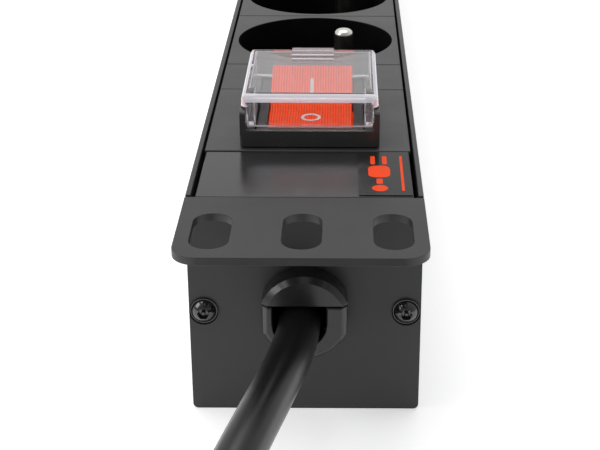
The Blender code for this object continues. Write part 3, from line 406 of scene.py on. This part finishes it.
def make_finishes():
    """Every finish by its name, which is the material slot's where the slot has one finish."""
    return {
        "profile": grained(
            "black_anodised", grey(0.02), grey(0.025), (0.36, 0.46), 0.3, 0.1, stretch=(1, 0.1, 1)
        ),
        "ear_sheet": grained("black_powder_coat", grey(0.017), grey(0.022), (0.42, 0.52), 0.45, 0.25, 0.04),
        "screws": grained(
            "black_steel", grey(0.005), grey(0.008), (0.08, 0.16), 0.5, 0.05, 0.01, specular=0.9
        ),
        "front_plastic": grained("black_plastic", grey(0.028), grey(0.034), (0.36, 0.46), 0.4, 0.25, 0.03),
        "blank_plate": grained(
            "smooth_black_plastic", grey(0.022), grey(0.027), (0.16, 0.23), 0.6, 0.06, 0.01
        ),
        "frame": grained("switch_black_plastic", grey(0.032), grey(0.038), (0.2, 0.3), 0.5, 0.1, 0.01),
        "label_film": grained(
            "label_film", grey(0.015), grey(0.018), (0.22, 0.28), 0.5, 0.05, 0.01, specular=0.2
        ),
        "inner_plastic": grained("inner_plastic", grey(0.012), grey(0.018), (0.4, 0.55), 0.5, 0.1),
        # Painted shade: the socket recesses take a near-black, hardly reflective finish, much darker than the
        # plastic round them.
        "recess": grained("recess_painted_shade", grey(0.003), grey(0.005), (0.35, 0.45), 0.5, 0.1, specular=0.1),
        "tray_plastic": grained("tray_plastic", grey(0.2), grey(0.26), (0.45, 0.6), 0.5, 0.1),
        "nickel": grained(
            "nickel", (0.7, 0.69, 0.66), (0.8, 0.79, 0.76), (0.14, 0.26), 0.4, 0.06, 0.01, metallic=1.0
        ),
        "brass_bars": grained(
            "brass", (0.6, 0.4, 0.14), (0.75, 0.53, 0.22), (0.25, 0.4), 0.4, 0.1, metallic=1.0
        ),
        "rocker_plastic": rocker_plastic(),
        "lamp_glass": lamp_glass(),
        "clear_cover": clear_plastic("clear_acrylic", (0.975, 0.97, 0.99), 1.0, (0.01, 0.05)),
        # Painted highlight: the cover's rounded edges are made milky so they show bright, standing in for the
        # light the clear edges catch.
        "cover_edge": clear_plastic("cover_edge_painted_highlight", (0.93, 0.91, 0.98), 0.45, (0.15, 0.3)),
        "gland_nylon": grained("black_nylon", grey(0.014), grey(0.022), (0.2, 0.3), 0.5, 0.15, 0.02),
        "cord_sheath": grained("cord_sheath", grey(0.005), grey(0.008), (0.26, 0.36), 0.6, 0.12, 0.02),
        "plug_moulding": grained("plug_moulding", grey(0.01), grey(0.016), (0.35, 0.5), 0.4, 0.2, 0.02),
        "live_insulation": grained(
            "brown_core", (0.16, 0.05, 0.02), (0.22, 0.08, 0.03), (0.4, 0.5), 0.5, 0.1
        ),
        "neutral_insulation": grained(
            "blue_core", (0.02, 0.08, 0.4), (0.03, 0.11, 0.52), (0.4, 0.5), 0.5, 0.1
        ),
        "earth_insulation": earth_stripes(),
        "white_mark": grained("white_mark", grey(0.75), grey(0.85), (0.3, 0.4), 0.3, 0.05),
        "orange_mark": grained(
            "orange_mark", (0.8, 0.06, 0.01), (0.86, 0.07, 0.012), (0.5, 0.6), 0.3, 0.05, specular=0.1
        ),
    }


# Cord -------------------------------------------------------------------------

CORD_RADIUS = 4.0
CORD_ROUTE = [  # the same route as the frame's, from inside the end plate to where the hank starts
    (-0.9, -206.0, 21.0),
    (-0.9, -212.0, 21.0),
    (-0.9, -218.0, 21.0),
    (-1.1, -224.0, 21.0),
    (-1.8, -230.0, 21.1),
    (-3.0, -237.0, 21.2),
    (-4.7, -245.0, 21.2),
    (-7.1, -255.0, 20.9),
    (-10.0, -266.0, 19.9),
    (-13.3, -278.0, 17.8),
    (-17.0, -291.0, 14.3),
    (-21.0, -304.0, 10.3),
    (-25.0, -317.0, 7.0),
    (-28.0, -330.0, 5.4),
    (-30.2, -343.0, 5.0),
    (-31.5, -355.0, 5.0),
    (-31.9, -367.0, 5.0),
    (-32.1, -380.0, 5.0),
]
TAIL_ROUTE = [  # from the hank to the back of the plug
    (32.2, -394.5, 13.3),
    (31.3, -386.4, 13.3),
    (28.7, -378.5, 13.32),
    (24.5, -371.5, 13.42),
    (20.3, -364.5, 13.76),
    (18.0, -358.0, 14.25),
    (17.1, -353.2, 14.71),
    (16.8, -348.6, 15.19),
]
HANK_NEAR_Y = -394.5  # centre of its turned end towards the strip
HANK_RUN = 77.3  # from there to the centre of its other turned end
HANK_RADII = (24.0, 32.1)  # inner and outer turns round each end
HANK_LOW_Z = 5.0
LAYER_PITCH = 8.3
HANK_SECTIONS = 19  # runs and turned ends: left run, far end, right run, near end, and so on
SECTION_STEPS = 12
STEP_IN, STEP_OUT = (3, 4), (13, 14)  # sections over which it goes to the inner and the outer turns
STEPS_UP, STEP_DOWN = ((6.05, 6.95), (10.05, 10.95)), (16.05, 16.95)  # and to the layer above and below
CORD_SPACING = 2.5  # between the points of its curve


def eased(progress, start, end):
    """0 before start, 1 after end and smooth between."""
    t = min(max((progress - start) / (end - start), 0), 1)
    return t * t * (3 - 2 * t)


def hank_point(progress):
    """A point of the hank, by the number of sections up to it."""
    inner, outer = HANK_RADII
    radius = outer + (outer - inner) * (eased(progress, *STEP_OUT) - eased(progress, *STEP_IN))
    layer = sum(eased(progress, *step) for step in STEPS_UP) - eased(progress, *STEP_DOWN)
    height = HANK_LOW_Z + LAYER_PITCH * layer
    section, along = int(progress) % 4, progress % 1
    turn = math.radians(180 * along)
    far_y = HANK_NEAR_Y - HANK_RUN
    if section == 0:
        return (-radius, HANK_NEAR_Y - HANK_RUN * along, height)
    if section == 1:
        return (-radius * math.cos(turn), far_y - radius * math.sin(turn), height)
    if section == 2:
        return (radius, far_y + HANK_RUN * along, height)
    return (radius * math.cos(turn), HANK_NEAR_Y + radius * math.sin(turn), height)


def hank_points():
    """Points all along the hank."""
    return [hank_point(n / SECTION_STEPS) for n in range(HANK_SECTIONS * SECTION_STEPS)]


def smooth_path(points, spacing):
    """Points about spacing apart on a smooth curve through the given ones."""
    nodes = [Vector(p) for p in points]
    nodes = [2 * nodes[0] - nodes[1], *nodes, 2 * nodes[-1] - nodes[-2]]
    fine = []
    for a, b, c, d in zip(nodes, nodes[1:], nodes[2:], nodes[3:]):
        steps = max(2, round((c - b).length / spacing))
        bend, twist = 2 * a - 5 * b + 4 * c - d, 3 * b - 3 * c + d - a
        for t in (n / steps for n in range(steps)):
            fine.append(0.5 * (2 * b + (c - a) * t + bend * t**2 + twist * t**3))
    return [*fine, nodes[-2]]


def add_cord(finish):
    """The mains cord as one curve, from inside the end plate through its hank to the plug."""
    points = smooth_path([*CORD_ROUTE, *hank_points(), *TAIL_ROUTE], CORD_SPACING)
    curve = bpy.data.curves.new("mains_cord_line", "CURVE")
    curve.dimensions = "3D"
    curve.bevel_depth = CORD_RADIUS * MM
    curve.bevel_resolution = 8
    curve.use_fill_caps = True
    line = curve.splines.new("POLY")
    line.points.add(len(points) - 1)
    for spot, place in zip(line.points, points, strict=True):
        spot.co = (*(place * MM), 1.0)
    line.use_smooth = True
    curve.materials.append(finish)
    piece = bpy.data.objects.new("mains_cord_line", curve)
    bpy.context.scene.collection.objects.link(piece)
    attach(piece, BODY_OF["mains_cord"])
    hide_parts("mains_cord", "mains_cord_hank", "mains_cord_tail")
    return piece


# Casing -----------------------------------------------------------------------


def add_casing(finishes):
    """The profile, both ears and the row of modules."""
    refined("aluminium_profile", finishes["profile"], 0.15)
    for node in ("rack_ear_cord_end", "rack_ear_far_end"):
        refined(node, finishes["ear_sheet"], 0.18, 3)
    refined("blank_plate_cord_end", finishes["blank_plate"], 0.2)
    for node in ("switch_plate", "spacer_plate", "blank_plate_far_end"):
        refined(node, finishes["front_plastic"], 0.2)
    for number in range(1, 9):
        add_socket(number, finishes)
    refined("front_label", finishes["label_film"], 0.04)


SCREW_RADIUS = 2.75
SCREW_HEIGHT = 1.65
SHANK_RADIUS = 1.44
DOME_RADIUS = 3.15
HEX_RADIUS = 1.16
HEX_FLOOR = 0.45


def add_screws(finish):
    """Button-head screws with a pinned hex socket, finer than the frame's."""
    dome = arc(0, -1.5, DOME_RADIUS, 8, 90, 14)
    shank = low("ear_screw_1")[1] - high("ear_screw_1")[1]
    for number in range(1, 5):
        node = f"ear_screw_{number}"
        end = -1 if middle(node)[1] < 0 else 1
        head = [(SCREW_RADIUS - 0.12, 0.0), (SCREW_RADIUS, 0.12), (SCREW_RADIUS, 0.4)]
        head += [(r * SCREW_RADIUS / DOME_RADIUS, z) for r, z in dome[3:-1]] + [(0, SCREW_HEIGHT)]
        tip = shank + SCREW_HEIGHT
        body = [(0, tip), (1.3, tip), (SHANK_RADIUS, shank + 2.2), (SHANK_RADIUS, 0)]
        mesh = turned(body + head, 48)
        hexagon = arc(0, 0, HEX_RADIUS, 0, 300, 5)
        socket = prism(hexagon, "Z", HEX_FLOOR, 3)
        pin = turned([(0, 0.3), (0.42, 0.3), (0.42, 1.05), (0.3, 1.2), (0, 1.25)], 16)
        mesh = combined(mesh, combined(socket, pin, "DIFFERENCE"), "DIFFERENCE")
        turn = Matrix.Rotation(-end * math.pi / 2, 4, "X")
        outer = low(node)[1] + SCREW_HEIGHT if end < 0 else high(node)[1] - SCREW_HEIGHT
        place = Matrix.Translation((middle(node)[0], outer, middle(node)[2]))
        add_piece(f"{node}_detailed", moved(mesh, place @ turn), finish, node, [node], 0.05)


RECESS_REACH = 19.3  # from the socket's centre, just past the recess's wall
RIM_DEPTH = 0.2


def add_socket(number, finishes):
    """A socket block with a rounded rim and painted shade in its recess: the recess takes a much darker,
    hardly reflective finish.
    """
    node = f"socket_{number}"
    block = refined(node, finishes["front_plastic"], 0.22)
    block.data.materials.append(finishes["recess"])
    centre = middle(node)
    top = high(node)[2]
    # Faces inside the recess, below the rim, take the painted-shade finish.
    for face in block.data.polygons:
        place = face.center / MM - centre
        if math.hypot(place.x, place.y) < RECESS_REACH and face.center.z / MM < top - RIM_DEPTH:
            face.material_index = 1


PIN_RADIUS = 2.4
COLLAR_RADIUS = 3.3


def add_earth_pins(finish):
    """Earth pins with a rounded tip, a collar and a tail, finer than the frame's."""
    for number in range(1, 9):
        node = f"earth_pin_{number}"
        foot, tip = low(node)[2], high(node)[2]
        profile = [(0, foot), (1.5, foot), (1.5, foot + 2.6)]
        profile += [(COLLAR_RADIUS, foot + 2.6), (COLLAR_RADIUS, foot + 3.8)]
        profile += [(PIN_RADIUS, foot + 3.8), (PIN_RADIUS, tip - 1.5)]
        profile += [(1.0 + r, z) for r, z in arc(0, tip - 1.4, 1.4, 0, 90, 8)[1:]]
        profile += [(0.35, tip), (0.25, tip - 0.12), (0, tip - 0.12)]
        mesh = turned(profile, 36)
        axis = Matrix.Translation((middle(node)[0], middle(node)[1], 0))
        add_piece(f"{node}_detailed", moved(mesh, axis), finish, node, [node])


# Label ------------------------------------------------------------------------


SIGN_X = 4.0  # from the label's left edge to the sign's middle
SIGN_THICKNESS = 0.03


def add_label_marks(finishes):
    """A generic sign on the label, a plug and its lead, with a fine rule beside it."""
    base = high("front_label")[2]
    left, near = low("front_label")[0], low("front_label")[1]
    x = left + SIGN_X
    flat = [
        rounded(x - 2.1, x + 2.1, near + 8.6, near + 14.6, 1.5),  # the plug
        rounded(x - 1.6, x - 0.7, near + 15.3, near + 19.6, 0.35),  # its pins
        rounded(x + 0.7, x + 1.6, near + 15.3, near + 19.6, 0.35),
        rounded(x - 0.6, x + 0.6, near + 5.4, near + 8.0, 0.35),  # the lead
        arc(x, near + 3.3, 1.5, 0, 345, 23),  # the lead's end
        rounded(x + 4.1, x + 4.6, near + 2.0, near + 19.8, 0.2),  # the rule
    ]
    marks = [prism(outline, "Z", base, base + SIGN_THICKNESS) for outline in flat]
    shape = bmesh.new()
    for mark in marks:
        shape.from_mesh(mark)
    mesh = bpy.data.meshes.new("label_sign")
    shape.to_mesh(mesh)
    shape.free()
    add_piece("label_sign", mesh, finishes["orange_mark"], "front_label")


# Switch -----------------------------------------------------------------------

ROCKER_PIVOT = (0.4, -173.65, 45.0)
ROCKER_TILT = math.radians(11.5)
VALLEY = 2.4  # from the pivot up to the line where the rocker's two halves meet
ON_MARK = (-0.35, 0.35, 1.6, 8.0)
OFF_MARK_PLACE = 5.5  # from the valley
OFF_MARK_RADIUS = 1.75
MARK_HEIGHTS = (-0.1, 0.06)  # the bottom and top of a mark, from the rocker's surface
EDGE_TURN = 0.97  # a cover face none of whose normal's components exceeds this is on a rounded edge, which takes the milky painted highlight


def on_rocker(mesh, rear):
    """A mark built flat, at its distance from the valley along Y, laid on the rocker's rear or front half."""
    lift = Matrix.Rotation(2 * ROCKER_TILT, 4, "X") if rear else Matrix.Identity(4)
    valley = (
        ROCKER_PIVOT[0],
        ROCKER_PIVOT[1] - VALLEY * math.sin(ROCKER_TILT),
        ROCKER_PIVOT[2] + VALLEY * math.cos(ROCKER_TILT),
    )
    return moved(mesh, Matrix.Translation(valley) @ lift)


def add_switch(finishes):
    """The switch with its marked rocker and clear cover."""
    refined("switch_frame", finishes["frame"], 0.25, 3)
    refined("switch_body", finishes["inner_plastic"], 0.15)
    refined("switch_rocker", finishes["rocker_plastic"], 0.3, 3, sharp=40)
    on_mark = prism(rounded(*ON_MARK, 0.3), "Z", *MARK_HEIGHTS)
    add_piece("rocker_on_mark", on_rocker(on_mark, True), finishes["white_mark"], "switch_rocker")
    off_mark = flat_ring(OFF_MARK_RADIUS, 0.3, *MARK_HEIGHTS)
    off_mark = moved(off_mark, Matrix.Translation((0, -OFF_MARK_PLACE, 0)))
    add_piece("rocker_off_mark", on_rocker(off_mark, False), finishes["white_mark"], "switch_rocker")
    cover = refined("switch_cover", finishes["clear_cover"], 0.15, sharp=40)
    cover.data.materials.append(finishes["cover_edge"])
    # The rounded edges take the milky finish, a painted highlight.
    for face in cover.data.polygons:
        if max(abs(c) for c in face.normal) < EDGE_TURN:
            face.material_index = 1


# Strain relief and plug -------------------------------------------------------


def add_gland(finishes):
    """The strain relief's two halves, and the tie round the hank."""
    for node in ("strain_relief_jaw", "strain_relief_wedge"):
        refined(node, finishes["gland_nylon"], 0.5, 3)
    refined("hank_tie", finishes["gland_nylon"], 0.2)


def add_plug(finishes):
    """The plug, as a list of its pieces."""
    plug = refined("plug_body", finishes["plug_moulding"], 0.5, 3)
    pins = refined("plug_pin_insert", finishes["nickel"], 0.2)
    return [plug, pins]


# Inner pieces -----------------------------------------------------------------


def finish_inner_nodes(finishes):
    """Every CAD node that is still shown takes its slot's finish."""
    for name, node in NODES.items():
        if node.hide_render:
            continue
        node.data.materials.clear()
        node.data.materials.append(finishes[SLOT_OF[name]])


# Stage ------------------------------------------------------------------------


FLOOR_REACH = 4000
FLOOR_GLOW = 0.42
WORLD_STRENGTHS = (0.3, 0.75)  # towards the camera and away from it
WORLD_SPREAD = (-0.9, 0.5)  # the Y of the two directions between which the strength changes


def add_stage():
    """A wide pale floor."""
    made, tree, shader = new_material("pale_floor")
    tree.links.new(mixed(tree, noise(tree, 3), grey(0.9), grey(0.92)), shader.inputs["Base Color"])
    shader.inputs["Roughness"].default_value = 0.9
    shader.inputs["Specular IOR Level"].default_value = 0.1
    shader.inputs["Emission Color"].default_value = (1, 1, 1, 1)
    shader.inputs["Emission Strength"].default_value = FLOOR_GLOW
    sides = (-FLOOR_REACH, FLOOR_REACH, -FLOOR_REACH, FLOOR_REACH)
    mesh = prism(rounded(*sides, 100), "Z", -20, 0)
    mesh.materials.append(made)
    floor = bpy.data.objects.new("floor", mesh)
    bpy.context.scene.collection.objects.link(floor)


def add_area(name, place, target, size, power):
    """A white softbox that points at a target."""
    data = bpy.data.lights.new(name, "AREA")
    data.shape = "RECTANGLE"
    data.size, data.size_y = size[0] * MM, size[1] * MM
    data.energy = power
    light = bpy.data.objects.new(name, data)
    light.location = Vector(place) * MM
    light.rotation_mode = "QUATERNION"
    light.rotation_quaternion = (Vector(target) - Vector(place)).to_track_quat("-Z", "Y")
    bpy.context.scene.collection.objects.link(light)


def add_lights():
    """Soft white light all round, strongest from above and behind and weakest from the camera's side."""
    world = bpy.data.worlds.new("studio")
    bpy.context.scene.world = world
    world.use_nodes = True
    tree = world.node_tree
    place = tree.nodes.new("ShaderNodeTexCoord")
    split = tree.nodes.new("ShaderNodeSeparateXYZ")
    spread = tree.nodes.new("ShaderNodeMapRange")
    spread.inputs["From Min"].default_value, spread.inputs["From Max"].default_value = WORLD_SPREAD
    spread.inputs["To Min"].default_value, spread.inputs["To Max"].default_value = WORLD_STRENGTHS
    tree.links.new(place.outputs["Generated"], split.inputs[0])
    tree.links.new(split.outputs["Y"], spread.inputs["Value"])
    tree.links.new(spread.outputs["Result"], tree.nodes["Background"].inputs["Strength"])
    tree.nodes["Background"].inputs["Color"].default_value = (1, 1, 1, 1)
    add_area("softbox_above", (-150, 150, 1400), (0, -100, 0), (1400, 1200), 10)
    add_area("softbox_left", (-900, -500, 700), (0, -180, 20), (500, 700), 4)
    bpy.context.scene.view_settings.view_transform = "Standard"


# ------------------------------------------------------------------------------


def main():
    add_camera()
    finishes = make_finishes()
    cord = add_cord(finishes["cord_sheath"])
    plug = add_plug(finishes)
    add_gland(finishes)
    add_casing(finishes)
    add_label_marks(finishes)
    add_screws(finishes["screws"])
    add_earth_pins(finishes["nickel"])
    add_switch(finishes)
    finish_inner_nodes(finishes)
    add_stage()
    add_lights()


main()
